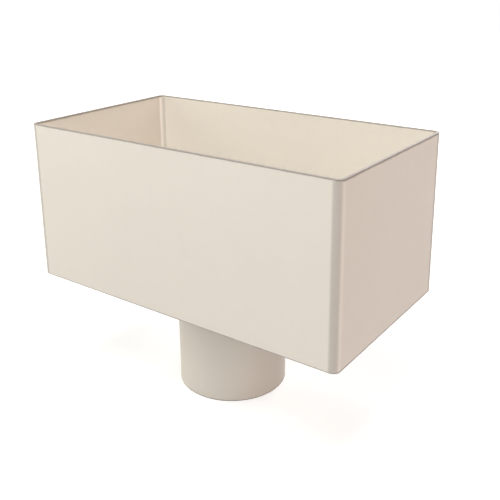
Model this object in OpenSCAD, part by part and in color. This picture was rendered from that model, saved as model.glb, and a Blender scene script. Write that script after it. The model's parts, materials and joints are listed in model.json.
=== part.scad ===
// Downpipe hopper head: an open box of folded sheet with a flat base and a round outlet spigot.
// The wrapper, the base and the tube are separate pieces, welded together and coated as one.
// Origin at the centre of the spigot's lower end, +Z up, front towards -Y, wall side towards +Y.
// All sizes are in millimetres.

/* [Body] */
// Width of the box along the wall, outside
body_width = 320; // [240:1:480]
// Depth of the box out from the wall, outside
body_depth = 175; // [140:1:320]
// Height of the box, outside
body_height = 147; // [80:1:300]
// Thickness of the folded sheet
sheet = 2.5; // [1.5:0.1:4]
// Inside radius of the four corner bends
bend_radius = 3.5; // [3:0.5:12]

/* [Seam] */
// Distance from the left end of the back wall to the middle of the seam
seam_return = 24; // [18:1:70]
// Width of the seam weld on the outside of the wall
seam_face = 4; // [2.5:0.1:6]
// Width of the seam weld on the inside of the wall
seam_root = 1.5; // [1:0.1:2.4]

/* [Base] */
// Thickness of the base plate
base_thick = 2.5; // [1.5:0.1:5]
// Clearance between the base plate and the walls around it
base_gap = 0.2; // [0.1:0.05:0.5]
// Leg of the fillet weld that runs round the base, inside the box
base_weld_leg = 2.5; // [1.5:0.1:2.9]

/* [Outlet] */
// Outside diameter of the spigot tube
spigot_diameter = 101; // [70:1:125]
// Wall thickness of the spigot tube
spigot_wall = 2; // [1.6:0.1:4]
// Length of the spigot below the base
spigot_length = 96; // [50:1:220]
// Flat left on the tube's bevelled upper end, where it meets the base
spigot_land = 0.5; // [0.2:0.1:1]
// Leg of the fillet weld under the base, round the spigot
spigot_weld_leg = 2.5; // [1.5:0.1:5]
// Chamfer that breaks both edges of the tube's lower end
edge_break = 0.5; // [0.1:0.1:0.7]

/* [Hidden] */
$fn = 96;

// Heights of the base plate's two faces
base_under = spigot_length;
base_top = base_under + base_thick;

// Inside of the folded wrapper
inside_width = body_width - 2 * sheet;
inside_depth = body_depth - 2 * sheet;

// Place of the seam across the back wall
seam_x = -body_width / 2 + seam_return;
back_inside = inside_depth / 2;

// Radii of the outlet
spigot_radius = spigot_diameter / 2;
bore_radius = spigot_radius - spigot_wall;

// Cuts run past the faces that they open by this much
overcut = 0.2;

// Colours of the coated sheet, the coated tube and the coated weld beads
sheet_colour = "#E2DACC";
tube_colour = "#DBD2C3";
bead_colour = "#D5CBBB";

// Rectangle with four rounded corners, centred on the origin
module rounded_plan(width, depth, radius) {
    square([width - 2 * radius, depth], center = true);
    square([width, depth - 2 * radius], center = true);
    for (side = [-1, 1], end = [-1, 1])
        translate([side * (width / 2 - radius), end * (depth / 2 - radius)])
            circle(radius);
}

// Space inside the wrapper, in plan, made smaller all round by a clearance
module inside_plan(clearance) {
    rounded_plan(inside_width - 2 * clearance, inside_depth - 2 * clearance, bend_radius - clearance);
}

// Closed wrapper in plan: four flat walls joined by four bends
module wrapper_plan() {
    difference() {
        rounded_plan(body_width, body_depth, bend_radius + sheet);
        inside_plan(0);
    }
}

// Bevelled gap between the two ends of the folded strip, in plan, run past both faces of the wall
module seam_gap_plan() {
    slope = (seam_face - seam_root) / 2 / sheet;
    half_in = seam_root / 2 - slope * overcut;
    half_out = seam_face / 2 + slope * overcut;
    translate([seam_x, back_inside])
        polygon([
            [-half_in, -overcut],
            [half_in, -overcut],
            [half_out, sheet + overcut],
            [-half_out, sheet + overcut]
        ]);
}

// Section of a fillet weld in the corner of two faces, with a slightly crowned outer face
module fillet_section(leg) {
    crown_radius = norm([2 * leg, leg]);
    intersection() {
        square(leg);
        translate([-leg, -leg])
            circle(crown_radius);
    }
}

// Straight run of fillet weld along X, centred, on a floor at z = 0 against a wall at y = 0
module fillet_run(length, leg) {
    rotate([90, 0, 90])
        linear_extrude(length, center = true)
            fillet_section(leg);
}

// Quarter turn of fillet weld inside a bend of the given radius, centred on the bend's axis
module fillet_bend(radius, leg) {
    rotate_extrude(angle = 90)
        translate([radius, 0])
            mirror([1, 0])
                fillet_section(leg);
}

// Folded wrapper: one strip bent four times, with its two ends meeting at the seam in the back wall
module hopper_body() {
    color(sheet_colour)
        translate([0, 0, base_under])
            linear_extrude(body_height)
                difference() {
                    wrapper_plan();
                    seam_gap_plan();
                }
}

// Flat base, set inside the wrapper and flush with its lower edge, with the outlet hole
module base_plate() {
    color(sheet_colour)
        translate([0, 0, base_under])
            linear_extrude(base_thick)
                difference() {
                    inside_plan(base_gap);
                    circle(bore_radius);
                }
}

// Round tube set on the underside of the base, bevelled at the top for its weld
module outlet_spigot() {
    color(tube_colour)
        rotate_extrude()
            polygon([
                [bore_radius + edge_break, 0],
                [spigot_radius - edge_break, 0],
                [spigot_radius, edge_break],
                [spigot_radius, base_under - spigot_weld_leg],
                [bore_radius + spigot_land, base_under],
                [bore_radius, base_under],
                [bore_radius, edge_break]
            ]);
}

// Butt weld that closes the wrapper, dressed flush with both faces of the back wall
module seam_weld() {
    color(bead_colour)
        translate([0, 0, base_under])
            linear_extrude(body_height)
                intersection() {
                    wrapper_plan();
                    seam_gap_plan();
                }
}

// Fillet weld between the base and the walls, all the way round the inside of the box
module base_weld() {
    leg = min(base_weld_leg, bend_radius - base_gap);
    run_width = inside_width - 2 * bend_radius;
    run_depth = inside_depth - 2 * bend_radius;
    color(bead_colour)
        translate([0, 0, base_top])
            for (turn = [0, 180]) rotate(turn) {
                translate([0, -inside_depth / 2, 0])
                    fillet_run(run_width, leg);
                rotate(90)
                    translate([0, -inside_width / 2, 0])
                        fillet_run(run_depth, leg);
                translate([run_width / 2, run_depth / 2, 0])
                    fillet_bend(bend_radius, leg);
                translate([-run_width / 2, run_depth / 2, 0])
                    rotate(90)
                        fillet_bend(bend_radius, leg);
            }
}

// Fillet weld under the base, in the bevel round the top of the spigot
module spigot_weld() {
    color(bead_colour)
        rotate_extrude()
            polygon([
                [spigot_radius, base_under - spigot_weld_leg],
                [spigot_radius + spigot_weld_leg, base_under],
                [bore_radius + spigot_land, base_under]
            ]);
}

hopper_body();
base_plate();
outlet_spigot();
seam_weld();
base_weld();
spigot_weld();
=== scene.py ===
"""Looks of a powder-coated downpipe hopper head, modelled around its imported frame.

The folded wrapper, floor plate, spigot and weld beads are modelled at the places of the frame's nodes.
All lengths are in metres, +Z is up, the front faces -Y and the wall is at +Y.
"""

import json
import math

import bmesh
import bpy
from mathutils import Matrix, Vector


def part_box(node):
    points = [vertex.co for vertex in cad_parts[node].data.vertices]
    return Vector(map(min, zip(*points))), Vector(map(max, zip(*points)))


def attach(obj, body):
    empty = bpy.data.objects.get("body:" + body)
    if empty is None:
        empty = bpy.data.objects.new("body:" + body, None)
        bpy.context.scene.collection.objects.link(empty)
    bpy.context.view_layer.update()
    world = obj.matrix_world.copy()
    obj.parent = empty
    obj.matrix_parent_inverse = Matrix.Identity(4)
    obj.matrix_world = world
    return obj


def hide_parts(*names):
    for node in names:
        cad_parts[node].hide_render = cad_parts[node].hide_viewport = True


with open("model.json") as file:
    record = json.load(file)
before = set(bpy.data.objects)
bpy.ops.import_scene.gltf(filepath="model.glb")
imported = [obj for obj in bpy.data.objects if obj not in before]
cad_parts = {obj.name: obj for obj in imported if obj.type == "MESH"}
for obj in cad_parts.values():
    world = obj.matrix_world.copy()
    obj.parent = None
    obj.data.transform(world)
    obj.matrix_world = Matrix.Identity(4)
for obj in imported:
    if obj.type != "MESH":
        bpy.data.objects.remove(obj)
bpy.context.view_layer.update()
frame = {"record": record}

# Sizes taken from the frame
mounts = {mount["name"]: mount for mount in frame["record"]["mounts"]}
wrapper_low, wrapper_high = (Vector(corner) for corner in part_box("hopper_body"))
base_low, base_high = (Vector(corner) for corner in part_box("base_plate"))
seam_low, seam_high = (Vector(corner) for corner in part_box("seam_weld"))
floor_bead_low, floor_bead_high = (Vector(corner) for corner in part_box("base_weld"))
spigot_bead_low, spigot_bead_high = (Vector(corner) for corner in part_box("spigot_weld"))

MM = 0.001
BODY_WIDTH = wrapper_high.x - wrapper_low.x
BODY_DEPTH = wrapper_high.y - wrapper_low.y
BODY_HEIGHT = wrapper_high.z - wrapper_low.z
BASE_UNDER = wrapper_low.z
BASE_TOP = base_high.z
RIM_TOP = wrapper_high.z
SHEET = seam_high.y - seam_low.y
BASE_THICK = base_high.z - base_low.z
SPIGOT_RADIUS = mounts["spigot_outside"]["dims"]["r_mm"] * MM
BORE_RADIUS = mounts["outlet_bore"]["dims"]["r_mm"] * MM
FLOOR_LEG = floor_bead_high.z - floor_bead_low.z
SPIGOT_LEG = spigot_bead_high.z - spigot_bead_low.z

# Bends and edges of the sheet
BEND_INSIDE = 3.5 * MM
BEND_OUTSIDE = BEND_INSIDE + SHEET
BEND_STEPS = 14
EDGE_ROUND = 0.45 * MM
PLATE_EDGE_ROUND = 0.2 * MM
EDGE_STEPS = 3
SMOOTH_ANGLE = math.radians(40)

# Points this near to each other or to a plane count as touching
TOUCHING = 0.01 * MM

# Spigot tube, bevelled at its upper end for the weld
SPIGOT_SIDES = 160
SPIGOT_LAND = 0.5 * MM
SPIGOT_EDGE_ROUND = 0.5 * MM

# Seam weld, dressed almost flush, with a low crown raised in steps over shares of its face
SEAM_MIDDLE = (seam_low.x + seam_high.x) / 2
SEAM_FACE = seam_high.x - seam_low.x
SEAM_ROOT = 1.5 * MM
SEAM_CROWN = 0.12 * MM
SEAM_CROWN_CUTS = 5
SEAM_CROWN_SHARES = (0.9, 0.5)

# Ripples of the two fillet welds: each runs on further in its middle and swells along its length
RIPPLE_LENGTH = 1.8 * MM
CROWN_SPAN = 0.98
CROWN_STEPS = 6
CROWN_SHAPE = 0.36
CRESCENT = 0.3
CRESCENT_SHARES = (0.15, 0.4)
RIPPLE_STEPS = ((0.3, 1.05), (0.6, 1.06), (0.85, 1.02), (1.0, 1.0))

# Camera, matched to the photograph in a 500 pixel square frame
FRAME_PIXELS = 500
LENS_PIXELS = 726.7
SENSOR_WIDTH = 36.0
CAMERA_PLACE = Vector((0.3799, -0.4960, 0.3831))
CAMERA_YAW = math.radians(35.81)
CAMERA_PITCH = math.radians(16.435)
CAMERA_ROLL = math.radians(-0.482)
LENS_SHIFT = -0.15

# Soft lamps: turn from the front towards the right, rise above the level, power and colour
SOFTBOX_DISTANCE = 1.6
SOFTBOX_SIZE = 1.0
SOFTBOXES = {
    "front_softbox": (15, 35, 9.6, (1, 1, 1)),
    "left_softbox": (-70, 18, 12.5, (1, 0.94, 0.8)),
    "right_softbox": (90, 22, 7.6, (1, 0.73, 0.63)),
    "back_softbox": (180, 40, 19.0, (1, 1, 1)),
    "top_softbox": (0, 70, 17.4, (1, 1, 1)),
}

# Pale floor, whose glow rises to white as the light of the lamps falls off with the distance
WHITE = (1, 1, 1, 1)
FLOOR_SIZE = 24
FLOOR_COLOUR = (0.6, 0.6, 0.6, 1)
FLOOR_NEAR = 0.25
FLOOR_FAR = 1.1
FLOOR_GLOW_NEAR = 0.55
FLOOR_GLOW_FAR = 1.0

# Colours of the coat: whole; a darker tone painted along the edges and round the bends as painted
# shade; and a lighter tone painted beside the bends as a painted highlight
COAT_COLOUR = (0.78, 0.735, 0.66, 1)
PAINTED_SHADE_COLOUR = (0.29, 0.26, 0.23, 1)
PAINTED_HIGHLIGHT_COLOUR = (0.94, 0.9, 0.83, 1)

# Variation of the coat: scale per metre, detail, and the lowest and highest value
NOISE_RANGE = (0.3, 0.7)
COAT_DRIFT = (8, 2, 0.985, 1.01)
COAT_MOTTLE = (120, 3, 0.992, 1.006)
COAT_ROUGHNESS = (300, 2, 0.42, 0.5)
# EDGE_WAVER varies how far the painted shade reaches from an edge
EDGE_WAVER = (90, 1, 0.9, 1.1)

# Flowed surface of the coat: scale per metre and detail of its waves and its grain, with their heights
WAVE_NOISE = (420, 1)
WAVE_HEIGHT = 0.008 * MM
GRAIN_NOISE = (1700, 1)
GRAIN_HEIGHT = 0.0015 * MM
# Roughness added where the painted shade lies
SHADE_BAND_DULLING = 0.1

# How far the painted shade reaches from the cut edges, which is more where the side walls start
RIM_REACH = 1.6 * MM
SIDE_RIM_REACH = 2.7 * MM
LOWER_EDGE_REACH = 1.35 * MM
SIDE_LOWER_REACH = 2.0 * MM
SIDE_WALL_START = (0, 3 * MM)
SPIGOT_END_REACH = 1.5 * MM
OUTLET_EDGE_REACH = 0.8 * MM

# Share of that reach over which the painted shade is darkest
DARKEST_SHARE = 0.25

# Painted shade and painted highlight at the bends: where each starts or ends, by the distance past the
# bends' starts
BEND_SHADE_STRENGTH = 0.48
BEND_FRONT_FADE = (-2.0 * MM, 0.5 * MM)
BEND_SIDE_FADE = (1.8 * MM, 4.2 * MM)
BACK_BEND_OUTSIDE = (3.6 * MM, 4.8 * MM)
BACK_BEND_START = (-3.0 * MM, -1.4 * MM)
HIGHLIGHT_ACROSS = (1.8 * MM, 3.2 * MM)
HIGHLIGHT_START = (-1.0 * MM, 0.3 * MM)
HIGHLIGHT_END = (1.3 * MM, 2.6 * MM)
HIGHLIGHT_OUTSIDE = 0.35


def clear_selection():
    """Nothing is selected, so that the next operator acts on the new piece alone."""
    bpy.ops.object.select_all(action="DESELECT")


def name_piece(name):
    """The piece just added takes a name, and its place and size go into its mesh."""
    piece = bpy.context.object
    piece.name = name
    piece.data.name = name
    bpy.ops.object.transform_apply(location=True, rotation=True, scale=True)
    return piece


def pick_points(piece, wanted):
    """Selects the points, in edit mode, whose places pass a test."""
    bpy.ops.mesh.select_mode(type="VERT")
    bpy.ops.mesh.select_all(action="DESELECT")
    mesh = bmesh.from_edit_mesh(piece.data)
    for point in mesh.verts:
        point.select_set(wanted(point.co))
    mesh.select_flush(True)
    bmesh.update_edit_mesh(piece.data)


def pick_sharp_edges(piece, wanted):
    """Selects the sharp edges, in edit mode, whose middles pass a test."""
    bpy.ops.mesh.select_mode(type="EDGE")
    bpy.ops.mesh.select_all(action="DESELECT")
    bpy.ops.mesh.edges_select_sharp(sharpness=SMOOTH_ANGLE)
    mesh = bmesh.from_edit_mesh(piece.data)
    for edge in mesh.edges:
        middle = (edge.verts[0].co + edge.verts[1].co) / 2
        edge.select_set(edge.select and wanted(middle))
    bmesh.update_edit_mesh(piece.data)


def face_outwards():
    """All faces of the mesh in edit mode point outwards."""
    bpy.ops.mesh.select_all(action="SELECT")
    bpy.ops.mesh.normals_make_consistent(inside=False)


def draw_outline(name, width, depth, corner, height):
    """A rectangle with rounded corners lies flat at a height, in edit mode and all selected."""
    clear_selection()
    bpy.ops.mesh.primitive_plane_add(size=1, location=(0, 0, height))
    bpy.context.object.scale = (width, depth, 1)
    piece = name_piece(name)
    bpy.ops.object.mode_set(mode="EDIT")
    bpy.ops.mesh.select_mode(type="VERT")
    bpy.ops.mesh.select_all(action="SELECT")
    bpy.ops.mesh.bevel(offset=corner, segments=BEND_STEPS, affect="VERTICES")
    bpy.ops.mesh.select_all(action="SELECT")
    return piece


def finish_modifier(piece, kind, **settings):
    """A modifier is set up on the piece and applied."""
    modifier = piece.modifiers.new(kind.title(), kind)
    for setting, value in settings.items():
        setattr(modifier, setting, value)
    bpy.context.view_layer.objects.active = piece
    bpy.ops.object.modifier_apply(modifier=modifier.name)


def finish_piece(piece):
    """Leaves edit mode, with rounded edges shaded smooth and flat faces kept flat."""
    bpy.ops.object.mode_set(mode="OBJECT")
    clear_selection()
    piece.select_set(True)
    bpy.context.view_layer.objects.active = piece
    bpy.ops.object.shade_smooth_by_angle(angle=SMOOTH_ANGLE)
    finish_modifier(piece, "WEIGHTED_NORMAL", keep_sharp=True)
    return piece


def round_edges(piece, width, wanted):
    """Rounds the sharp edges, in edit mode, whose middles pass a test."""
    pick_sharp_edges(piece, wanted)
    bpy.ops.mesh.bevel(offset=width, segments=EDGE_STEPS, affect="EDGES")


def beside_seam(place):
    """Whether a point of the back wall is at the seam."""
    return place.y > 0 and abs(place.x - SEAM_MIDDLE) < SEAM_FACE


def fold_wrapper():
    """Strip folded round four bends, its two bevelled ends meeting at the seam in the back wall."""
    wrapper = draw_outline("folded_wrapper", BODY_WIDTH, BODY_DEPTH, BEND_OUTSIDE, BASE_UNDER)
    bpy.ops.mesh.delete(type="ONLY_FACE")
    bpy.ops.mesh.select_all(action="SELECT")
    bpy.ops.mesh.extrude_edges_move(TRANSFORM_OT_translate={"value": (0, 0, BODY_HEIGHT)})
    face_outwards()
    for side in (-1, 1):
        pick_points(wrapper, lambda place: place.y > BODY_DEPTH / 2 - TOUCHING)
        seam_edge = (SEAM_MIDDLE + side * SEAM_FACE / 2, 0, 0)
        bpy.ops.mesh.bisect(plane_co=seam_edge, plane_no=(1, 0, 0))
    pick_points(wrapper, beside_seam)
    bpy.ops.mesh.delete(type="ONLY_FACE")
    bpy.ops.mesh.select_mode(type="EDGE")
    bpy.ops.mesh.select_all(action="DESELECT")
    bpy.ops.mesh.select_loose()
    bpy.ops.mesh.delete(type="EDGE")
    bpy.ops.object.mode_set(mode="OBJECT")
    finish_modifier(wrapper, "SOLIDIFY", thickness=SHEET, offset=-1, use_even_offset=True)
    bpy.ops.object.mode_set(mode="EDIT")
    middle_y = BODY_DEPTH / 2 - SHEET / 2
    pick_points(wrapper, lambda place: beside_seam(place) and place.y < middle_y)
    bpy.ops.transform.resize(
        value=(SEAM_ROOT / SEAM_FACE, 1, 1), center_override=(SEAM_MIDDLE, middle_y, BASE_UNDER)
    )
    round_edges(wrapper, EDGE_ROUND, lambda place: not beside_seam(place))
    return finish_piece(wrapper)


def close_seam():
    """Butt weld between the wrapper's two ends, with a low crown left by dressing it."""
    middle_y = (seam_low.y + seam_high.y) / 2
    clear_selection()
    bpy.ops.mesh.primitive_plane_add(size=1, location=(SEAM_MIDDLE, middle_y, BASE_UNDER))
    bpy.context.object.scale = (SEAM_FACE, SHEET, 1)
    bead = name_piece("seam_weld_bead")
    bpy.ops.object.mode_set(mode="EDIT")
    pick_points(bead, lambda place: place.y < middle_y)
    bpy.ops.transform.resize(
        value=(SEAM_ROOT / SEAM_FACE, 1, 1), center_override=(SEAM_MIDDLE, middle_y, BASE_UNDER)
    )
    pick_points(bead, lambda place: place.y > middle_y)
    bpy.ops.mesh.subdivide(number_cuts=SEAM_CROWN_CUTS)
    for share in SEAM_CROWN_SHARES:
        reach = share * SEAM_FACE / 2
        pick_points(bead, lambda place: place.y > middle_y and abs(place.x - SEAM_MIDDLE) < reach)
        bpy.ops.transform.translate(value=(0, SEAM_CROWN / len(SEAM_CROWN_SHARES), 0))
    bpy.ops.mesh.select_all(action="SELECT")
    bpy.ops.mesh.extrude_region_move(TRANSFORM_OT_translate={"value": (0, 0, BODY_HEIGHT)})
    face_outwards()
    middle_z = BASE_UNDER + BODY_HEIGHT / 2
    end = BODY_HEIGHT / 2 - TOUCHING
    along_wall = SHEET / 4
    round_edges(
        bead,
        EDGE_ROUND,
        lambda place: abs(place.z - middle_z) > end and abs(place.y - middle_y) > along_wall,
    )
    return finish_piece(bead)


def cut_base():
    """Flat plate with rounded corners and the outlet hole, flush with the wrapper's lower edge."""
    width = base_high.x - base_low.x
    depth = base_high.y - base_low.y
    gap = (BODY_WIDTH - 2 * SHEET - width) / 2
    plate = draw_outline("floor_plate", width, depth, BEND_INSIDE - gap, BASE_UNDER)
    bpy.ops.mesh.delete(type="ONLY_FACE")
    bpy.ops.mesh.primitive_circle_add(
        vertices=SPIGOT_SIDES, radius=BORE_RADIUS, fill_type="NOTHING", location=(0, 0, BASE_UNDER)
    )
    bpy.ops.mesh.select_all(action="SELECT")
    bpy.ops.mesh.fill(use_beauty=True)
    bpy.ops.mesh.select_all(action="SELECT")
    bpy.ops.mesh.extrude_region_move(TRANSFORM_OT_translate={"value": (0, 0, BASE_THICK)})
    face_outwards()
    round_edges(plate, PLATE_EDGE_ROUND, lambda place: True)
    return finish_piece(plate)


def roll_spigot():
    """Round tube under the base, bevelled at the top for its weld, its lower edges broken."""
    section = (
        (SPIGOT_RADIUS, BASE_UNDER - SPIGOT_LEG),
        (BORE_RADIUS + SPIGOT_LAND, BASE_UNDER),
        (BORE_RADIUS, BASE_UNDER),
        (BORE_RADIUS, 0),
    )
    clear_selection()
    bpy.ops.mesh.primitive_circle_add(
        vertices=SPIGOT_SIDES, radius=SPIGOT_RADIUS, fill_type="NOTHING", location=(0, 0, 0)
    )
    tube = name_piece("spigot_tube")
    bpy.ops.object.mode_set(mode="EDIT")
    bpy.ops.mesh.select_all(action="SELECT")
    radius, height = SPIGOT_RADIUS, 0
    for next_radius, next_height in section:
        rise = next_height - height
        bpy.ops.mesh.extrude_edges_move(TRANSFORM_OT_translate={"value": (0, 0, rise)})
        share = next_radius / radius
        bpy.ops.transform.resize(value=(share, share, 1), center_override=(0, 0, next_height))
        radius, height = next_radius, next_height
    pick_points(tube, lambda place: place.z < TOUCHING)
    bpy.ops.mesh.bridge_edge_loops()
    face_outwards()
    round_edges(tube, SPIGOT_EDGE_ROUND, lambda place: place.z < TOUCHING)
    return finish_piece(tube)


def draw_path(name):
    """The flat outline in edit mode becomes a path for a weld, run anticlockwise."""
    bpy.ops.mesh.delete(type="ONLY_FACE")
    bpy.ops.object.mode_set(mode="OBJECT")
    bpy.ops.object.convert(target="CURVE")
    path = bpy.context.object
    path.name = name
    path.data.twist_mode = "Z_UP"
    points = [point.co.to_3d() for point in path.data.splines[0].points]
    following = points[1:] + points[:1]
    turns = sum(here.x * there.y - there.x * here.y for here, there in zip(points, following))
    if turns < 0:
        bpy.ops.object.mode_set(mode="EDIT")
        bpy.ops.curve.select_all(action="SELECT")
        bpy.ops.curve.switch_direction()
        bpy.ops.object.mode_set(mode="OBJECT")
    return path


def shape_ripple(name, leg, root, step):
    """One ripple of a fillet weld, a step long in +X, with its two legs along +Y and +Z."""
    clear_selection()
    bpy.ops.mesh.primitive_plane_add(
        size=leg, rotation=(0, math.pi / 2, 0), location=(0, leg / 2, leg / 2)
    )
    ripple = name_piece(name)
    bpy.ops.object.mode_set(mode="EDIT")
    pick_points(ripple, lambda place: place.y > leg / 2 and place.z > leg / 2)
    bpy.ops.mesh.bevel(
        offset=CROWN_SPAN * leg, segments=CROWN_STEPS, profile=CROWN_SHAPE, affect="VERTICES"
    )
    bpy.ops.mesh.select_all(action="SELECT")
    bpy.ops.mesh.delete(type="ONLY_FACE")
    for share in CRESCENT_SHARES:
        pick_points(ripple, lambda place: min(place.y, place.z) > share * leg)
        bpy.ops.transform.translate(value=(CRESCENT * step / len(CRESCENT_SHARES), 0, 0))
    pick_points(ripple, lambda place: max(place.y, place.z) < TOUCHING)
    bpy.ops.transform.translate(value=(0, -root, 0))
    bpy.ops.mesh.select_all(action="SELECT")
    reach, swell = 0, 1
    for next_reach, next_swell in RIPPLE_STEPS:
        forward = (next_reach - reach) * step
        bpy.ops.mesh.extrude_edges_move(TRANSFORM_OT_translate={"value": (forward, 0, 0)})
        share = next_swell / swell
        bpy.ops.transform.resize(value=(1, share, share), center_override=(0, -root, 0))
        reach, swell = next_reach, next_swell
    bpy.ops.object.mode_set(mode="OBJECT")
    return ripple


def lay_bead(name, path, leg, root, turn):
    """A ripple of fillet weld is repeated along the path and closed on itself."""
    run = path.data.splines[0].calc_length()
    count = round(run / RIPPLE_LENGTH)
    step = run / count
    bead = shape_ripple(name, leg, root, step)
    bead.rotation_euler.x = turn
    bpy.ops.object.transform_apply(location=False, rotation=True, scale=False)
    finish_modifier(
        bead,
        "ARRAY",
        count=count,
        use_relative_offset=False,
        use_constant_offset=True,
        constant_offset_displace=(step, 0, 0),
        use_merge_vertices=True,
        merge_threshold=TOUCHING,
    )
    finish_modifier(bead, "CURVE", object=path, deform_axis="POS_X")
    bpy.data.objects.remove(path)
    bpy.ops.object.mode_set(mode="EDIT")
    bpy.ops.mesh.select_all(action="SELECT")
    bpy.ops.mesh.remove_doubles(threshold=TOUCHING)
    face_outwards()
    return finish_piece(bead)


def weld_floor():
    """Fillet weld round the base, inside the box."""
    inside_width = BODY_WIDTH - 2 * SHEET
    inside_depth = BODY_DEPTH - 2 * SHEET
    draw_outline("floor_weld_path", inside_width, inside_depth, BEND_INSIDE, BASE_TOP)
    return lay_bead("floor_weld_bead", draw_path("floor_weld_path"), FLOOR_LEG, 0, 0)


def weld_spigot():
    """Fillet weld under the base, round the spigot and down into its bevel."""
    clear_selection()
    bpy.ops.mesh.primitive_circle_add(
        vertices=SPIGOT_SIDES, radius=SPIGOT_RADIUS, fill_type="NOTHING", location=(0, 0, BASE_UNDER)
    )
    name_piece("spigot_weld_path")
    bpy.ops.object.mode_set(mode="EDIT")
    bpy.ops.mesh.select_all(action="SELECT")
    root = SPIGOT_RADIUS - BORE_RADIUS - SPIGOT_LAND
    return lay_bead("spigot_weld_bead", draw_path("spigot_weld_path"), SPIGOT_LEG, root, math.pi)


def add_node(tree, kind, **inputs):
    """Adds a node with some of its inputs set by name."""
    node = tree.nodes.new(kind)
    for socket, value in inputs.items():
        node.inputs[socket.replace("_", " ")].default_value = value
    return node


def link(tree, source, output, target, socket):
    """Joins one node's output to another's input."""
    tree.links.new(source.outputs[output], target.inputs[socket])


def feed(tree, value, socket):
    """Gives an input a number, or joins it to a node's output."""
    if isinstance(value, (int, float)):
        socket.default_value = value
    else:
        tree.links.new(value, socket)


def add_math(tree, operation, *values):
    """Adds a calculation on one or two values, each a number or a node's output."""
    node = tree.nodes.new("ShaderNodeMath")
    node.operation = operation
    for socket, value in zip(node.inputs, values):
        feed(tree, value, socket)
    return node.outputs["Value"]


def combine(tree, operation, values):
    """Adds a chain of one kind of calculation that takes in every value."""
    result = values[0]
    for value in values[1:]:
        result = add_math(tree, operation, result, value)
    return result


def add_range(tree, value, low, high, new_low, new_high, smooth=False):
    """Adds a change of range from low and high to new ones."""
    node = add_node(
        tree, "ShaderNodeMapRange", From_Min=low, From_Max=high, To_Min=new_low, To_Max=new_high
    )
    if smooth:
        node.interpolation_type = "SMOOTHSTEP"
    tree.links.new(value, node.inputs["Value"])
    return node.outputs["Result"]


def add_noise(tree, coordinates, scale, detail):
    """Adds a noise at a scale per metre."""
    noise = add_node(tree, "ShaderNodeTexNoise", Scale=scale, Detail=detail)
    link(tree, coordinates, "Object", noise, "Vector")
    return noise.outputs["Fac"]


def add_variation(tree, coordinates, scale, detail, lowest, highest):
    """Adds a value that a noise varies between two numbers."""
    noise = add_noise(tree, coordinates, scale, detail)
    return add_range(tree, noise, *NOISE_RANGE, lowest, highest)


def open_group(name, inputs, outputs):
    """Starts a shader node group with named inputs and outputs."""
    tree = bpy.data.node_groups.new(name, "ShaderNodeTree")
    for socket, kind in inputs.items():
        tree.interface.new_socket(socket, in_out="INPUT", socket_type=kind)
    for socket, kind in outputs.items():
        tree.interface.new_socket(socket, in_out="OUTPUT", socket_type=kind)
    return tree, tree.nodes.new("NodeGroupInput"), tree.nodes.new("NodeGroupOutput")


def make_coat_skin():
    """Powder coat with a slow drift of tone, a fine mottle and the low waves of its flowed surface, its
    colour blended with painted shade and a painted highlight.
    """
    tree, given, result = open_group(
        "powder_coat_skin",
        {
            "Coat Colour": "NodeSocketColor",
            "Painted Shade Colour": "NodeSocketColor",
            "Painted Highlight Colour": "NodeSocketColor",
            "Painted Shade Coat": "NodeSocketFloat",
            "Painted Highlight Coat": "NodeSocketFloat",
        },
        {"Colour": "NodeSocketColor", "Roughness": "NodeSocketFloat", "Height": "NodeSocketFloat"},
    )
    coordinates = tree.nodes.new("ShaderNodeTexCoord")
    drift = add_variation(tree, coordinates, *COAT_DRIFT)
    mottle = add_variation(tree, coordinates, *COAT_MOTTLE)
    colour = given.outputs["Coat Colour"]
    # The painted highlight, then the painted shade, are blended into the coat's colour
    for state in ("Painted Highlight", "Painted Shade"):
        blend = tree.nodes.new("ShaderNodeMix")
        blend.data_type = "RGBA"
        link(tree, given, state + " Coat", blend, "Factor")
        tree.links.new(colour, blend.inputs["A"])
        link(tree, given, state + " Colour", blend, "B")
        colour = blend.outputs["Result"]
    toned = tree.nodes.new("ShaderNodeVectorMath")
    toned.operation = "SCALE"
    tree.links.new(colour, toned.inputs["Vector"])
    tree.links.new(add_math(tree, "MULTIPLY", drift, mottle), toned.inputs["Scale"])
    link(tree, toned, "Vector", result, "Colour")
    satin = add_variation(tree, coordinates, *COAT_ROUGHNESS)
    dulled = add_math(tree, "MULTIPLY", given.outputs["Painted Shade Coat"], SHADE_BAND_DULLING)
    tree.links.new(add_math(tree, "ADD", satin, dulled), result.inputs["Roughness"])
    waves = add_math(tree, "MULTIPLY", add_noise(tree, coordinates, *WAVE_NOISE), WAVE_HEIGHT)
    grain = add_math(tree, "MULTIPLY", add_noise(tree, coordinates, *GRAIN_NOISE), GRAIN_HEIGHT)
    tree.links.new(add_math(tree, "ADD", waves, grain), result.inputs["Height"])
    return tree


def make_edge_band():
    """Band of painted shade along a cut edge, by the distance from it, darkest nearest the edge."""
    tree, given, result = open_group(
        "painted_shade_edge_band",
        {"Distance": "NodeSocketFloat", "Reach": "NodeSocketFloat"},
        {"Painted Shade Coat": "NodeSocketFloat"},
    )
    coordinates = tree.nodes.new("ShaderNodeTexCoord")
    waver = add_variation(tree, coordinates, *EDGE_WAVER)
    wavered = add_math(tree, "MULTIPLY", given.outputs["Distance"], waver)
    share = add_math(tree, "DIVIDE", wavered, given.outputs["Reach"])
    darkening = add_range(tree, share, DARKEST_SHARE, 1, 1, 0, smooth=True)
    tree.links.new(darkening, result.inputs["Painted Shade Coat"])
    return tree


def split_place(tree):
    """Adds the place on the piece, split into its three directions."""
    coordinates = tree.nodes.new("ShaderNodeTexCoord")
    split = tree.nodes.new("ShaderNodeSeparateXYZ")
    link(tree, coordinates, "Object", split, "Vector")
    return split.outputs


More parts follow.
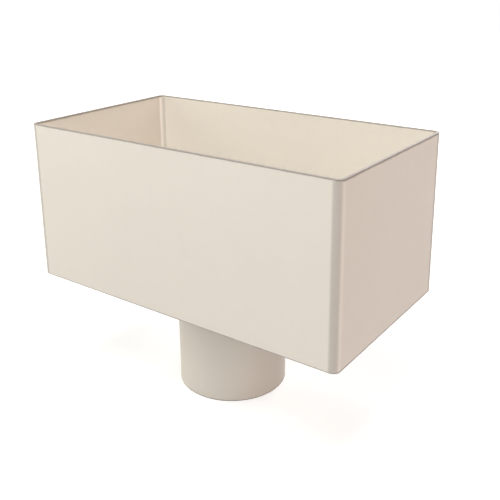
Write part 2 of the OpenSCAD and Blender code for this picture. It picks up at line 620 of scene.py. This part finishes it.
def shade_along(tree, measure, edge, reach):
    """Painted shade along the edge that lies where a measure of the place has one value."""
    distance = add_math(tree, "ABSOLUTE", add_math(tree, "SUBTRACT", measure, edge))
    band = tree.nodes.new("ShaderNodeGroup")
    band.node_tree = edge_band
    feed(tree, reach, band.inputs["Reach"])
    feed(tree, distance, band.inputs["Distance"])
    return band.outputs["Painted Shade Coat"]


def across_bends(tree):
    """Distances past the starts of the bends, towards the sides and towards the front or the back."""
    place = split_place(tree)
    past = []
    for axis, size in (("X", BODY_WIDTH), ("Y", BODY_DEPTH)):
        from_middle = add_math(tree, "ABSOLUTE", place[axis])
        past.append(add_math(tree, "SUBTRACT", from_middle, size / 2 - BEND_OUTSIDE))
    return past


def shade_at_edges(tree, past_x):
    """Painted shade along the rim and the lower edge, broader there on the side walls."""
    height = split_place(tree)["Z"]
    bands = []
    for edge, reach, side_reach in (
        (RIM_TOP, RIM_REACH, SIDE_RIM_REACH),
        (BASE_UNDER, LOWER_EDGE_REACH, SIDE_LOWER_REACH),
    ):
        wall_reach = add_range(tree, past_x, *SIDE_WALL_START, reach, side_reach, smooth=True)
        bands.append(shade_along(tree, height, edge, wall_reach))
    return combine(tree, "MAXIMUM", bands)


def shade_round_bends(tree, past_x, past_y):
    """Painted shade round the bends' halves towards the front and the back, where no painted highlight
    lies.
    """
    from_front = add_range(tree, past_x, *BEND_FRONT_FADE, 0, BEND_SHADE_STRENGTH, smooth=True)
    from_side = add_range(tree, past_y, *BEND_SIDE_FADE, 0, 1, smooth=True)
    not_highlighted = add_math(tree, "SUBTRACT", 1, highlight_on_wrapper(tree))
    return combine(tree, "MULTIPLY", (from_front, from_side, not_highlighted))


def shade_round_back(tree, past_x):
    """Painted shade round the outside of the back bends' other halves too, towards the sides."""
    past_back = add_math(tree, "SUBTRACT", split_place(tree)["Y"], BODY_DEPTH / 2 - BEND_OUTSIDE)
    outside = add_range(tree, past_x, *BACK_BEND_OUTSIDE, 0, BEND_SHADE_STRENGTH, smooth=True)
    behind = add_range(tree, past_back, *BACK_BEND_START, 0, 1, smooth=True)
    return add_math(tree, "MULTIPLY", outside, behind)


def shade_on_wrapper(tree):
    """Painted shade along the wrapper's cut edges and round its bends."""
    past_x, past_y = across_bends(tree)
    edges = shade_at_edges(tree, past_x)
    bends = shade_round_bends(tree, past_x, past_y)
    back_bends = shade_round_back(tree, past_x)
    return combine(tree, "MAXIMUM", (edges, bends, back_bends))


def highlight_on_wrapper(tree):
    """Painted highlight beside the shaded bends, towards the side walls, and most of all on their
    inside.
    """
    past_x, past_y = across_bends(tree)
    inside = add_range(tree, past_x, BEND_INSIDE, BEND_OUTSIDE, 1, HIGHLIGHT_OUTSIDE)
    near_side = add_range(tree, past_x, *HIGHLIGHT_ACROSS, 0, 1, smooth=True)
    start = add_range(tree, past_y, *HIGHLIGHT_START, 0, 1, smooth=True)
    end = add_range(tree, past_y, *HIGHLIGHT_END, 1, 0, smooth=True)
    return combine(tree, "MULTIPLY", (inside, near_side, start, end))


def shade_on_floor(tree):
    """Painted shade round the edge of the outlet hole."""
    place = split_place(tree)
    squares = [add_math(tree, "MULTIPLY", place[axis], place[axis]) for axis in ("X", "Y")]
    radius = add_math(tree, "SQRT", combine(tree, "ADD", squares))
    return shade_along(tree, radius, BORE_RADIUS, OUTLET_EDGE_REACH)


def shade_on_spigot(tree):
    """Painted shade along the spigot's lower end."""
    return shade_along(tree, split_place(tree)["Z"], 0, SPIGOT_END_REACH)


def powder_coat(name, find_shade=None, find_highlight=None):
    """Satin powder coat, with painted shade and a painted highlight where its piece has places for
    them.
    """
    material = bpy.data.materials.new(name)
    material.use_nodes = True
    tree = material.node_tree
    shader = tree.nodes["Principled BSDF"]
    skin = tree.nodes.new("ShaderNodeGroup")
    skin.node_tree = coat_skin
    skin.inputs["Coat Colour"].default_value = COAT_COLOUR
    skin.inputs["Painted Shade Colour"].default_value = PAINTED_SHADE_COLOUR
    skin.inputs["Painted Highlight Colour"].default_value = PAINTED_HIGHLIGHT_COLOUR
    if find_shade:
        tree.links.new(find_shade(tree), skin.inputs["Painted Shade Coat"])
    if find_highlight:
        tree.links.new(find_highlight(tree), skin.inputs["Painted Highlight Coat"])
    bump = add_node(tree, "ShaderNodeBump", Strength=1, Distance=1)
    link(tree, skin, "Height", bump, "Height")
    link(tree, bump, "Normal", shader, "Normal")
    link(tree, skin, "Colour", shader, "Base Color")
    link(tree, skin, "Roughness", shader, "Roughness")
    return material


def seen_directly(tree):
    """One for rays from the camera, in a reflection or through glass, and nothing for other rays."""
    path = tree.nodes.new("ShaderNodeLightPath")
    rays = [path.outputs[f"Is {kind} Ray"] for kind in ("Camera", "Glossy", "Transmission")]
    return combine(tree, "MAXIMUM", rays)


def lay_floor():
    """Pale floor that shows white to the camera and keeps the object's shadow."""
    clear_selection()
    bpy.ops.mesh.primitive_plane_add(size=FLOOR_SIZE, location=(0, 0, 0))
    floor = name_piece("studio_floor")
    material = bpy.data.materials.new("studio_floor")
    material.use_nodes = True
    tree = material.node_tree
    shader = tree.nodes["Principled BSDF"]
    shader.inputs["Base Color"].default_value = FLOOR_COLOUR
    shader.inputs["Roughness"].default_value = 1
    shader.inputs["Specular IOR Level"].default_value = 0
    glow = add_node(tree, "ShaderNodeEmission", Color=WHITE)
    coordinates = tree.nodes.new("ShaderNodeTexCoord")
    distance = tree.nodes.new("ShaderNodeVectorMath")
    distance.operation = "LENGTH"
    link(tree, coordinates, "Object", distance, "Vector")
    strength = add_range(
        tree,
        distance.outputs["Value"],
        FLOOR_NEAR,
        FLOOR_FAR,
        FLOOR_GLOW_NEAR,
        FLOOR_GLOW_FAR,
        smooth=True,
    )
    tree.links.new(add_math(tree, "MULTIPLY", seen_directly(tree), strength), glow.inputs["Strength"])
    both = tree.nodes.new("ShaderNodeAddShader")
    link(tree, shader, "BSDF", both, 0)
    link(tree, glow, "Emission", both, 1)
    link(tree, both, "Shader", tree.nodes["Material Output"], "Surface")
    floor.data.materials.append(material)


def surround():
    """Surround that is white where it is seen and leaves the light to the lamps."""
    world = bpy.data.worlds.new("studio")
    bpy.context.scene.world = world
    world.use_nodes = True
    tree = world.node_tree
    backdrop = tree.nodes["Background"]
    backdrop.inputs["Color"].default_value = WHITE
    tree.links.new(seen_directly(tree), backdrop.inputs["Strength"])


def hang_softbox(name, turn, rise, power, colour):
    """Square soft lamp hung round the box, facing the middle of it."""
    lamp = bpy.data.lights.new(name, "AREA")
    lamp.shape = "SQUARE"
    lamp.size = SOFTBOX_SIZE
    lamp.energy = power
    lamp.color = colour
    around = Matrix.Rotation(math.radians(turn), 3, "Z")
    upwards = Matrix.Rotation(-math.radians(rise), 3, "X")
    outwards = around @ upwards @ Vector((0, -1, 0))
    middle = Vector((0, 0, (BASE_UNDER + RIM_TOP) / 2))
    holder = bpy.data.objects.new(name, lamp)
    holder.location = middle + SOFTBOX_DISTANCE * outwards
    holder.rotation_euler = outwards.to_track_quat("Z", "Y").to_euler()
    bpy.context.scene.collection.objects.link(holder)


def set_camera():
    """Camera at the photograph's viewing angle."""
    lens = bpy.data.cameras.new("photo_camera")
    lens.sensor_width = SENSOR_WIDTH
    lens.lens = LENS_PIXELS * SENSOR_WIDTH / FRAME_PIXELS
    lens.shift_y = LENS_SHIFT
    camera = bpy.data.objects.new("photo_camera", lens)
    turn = Matrix.Rotation(CAMERA_YAW, 3, "Z")
    tilt = Matrix.Rotation(math.pi / 2 - CAMERA_PITCH, 3, "X")
    lean = Matrix.Rotation(CAMERA_ROLL, 3, "Z")
    camera.rotation_euler = (turn @ tilt @ lean).to_euler()
    camera.location = CAMERA_PLACE
    bpy.context.scene.collection.objects.link(camera)
    bpy.context.scene.camera = camera


def place_piece(piece, node, material):
    """The piece stands for its node, on the one rigid body, in its finish."""
    piece.data.materials.append(material)
    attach(piece, "root")
    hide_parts(node)


set_camera()
lay_floor()
surround()
for softbox, (turn, rise, power, colour) in SOFTBOXES.items():
    hang_softbox(softbox, turn, rise, power, colour)

coat_skin = make_coat_skin()
edge_band = make_edge_band()
# The wrapper, floor plate and spigot get painted shade along their edges, and the wrapper a painted
# highlight beside its bends
wrapper_coat = powder_coat("coated_wrapper", shade_on_wrapper, highlight_on_wrapper)
floor_coat = powder_coat("coated_floor", shade_on_floor)
spigot_coat = powder_coat("coated_spigot", shade_on_spigot)
weld_coat = powder_coat("coated_weld")

place_piece(fold_wrapper(), "hopper_body", wrapper_coat)
place_piece(cut_base(), "base_plate", floor_coat)
place_piece(roll_spigot(), "outlet_spigot", spigot_coat)
place_piece(close_seam(), "seam_weld", wrapper_coat)
place_piece(weld_floor(), "base_weld", weld_coat)
place_piece(weld_spigot(), "spigot_weld", weld_coat)

bpy.context.scene.view_settings.view_transform = "Standard"
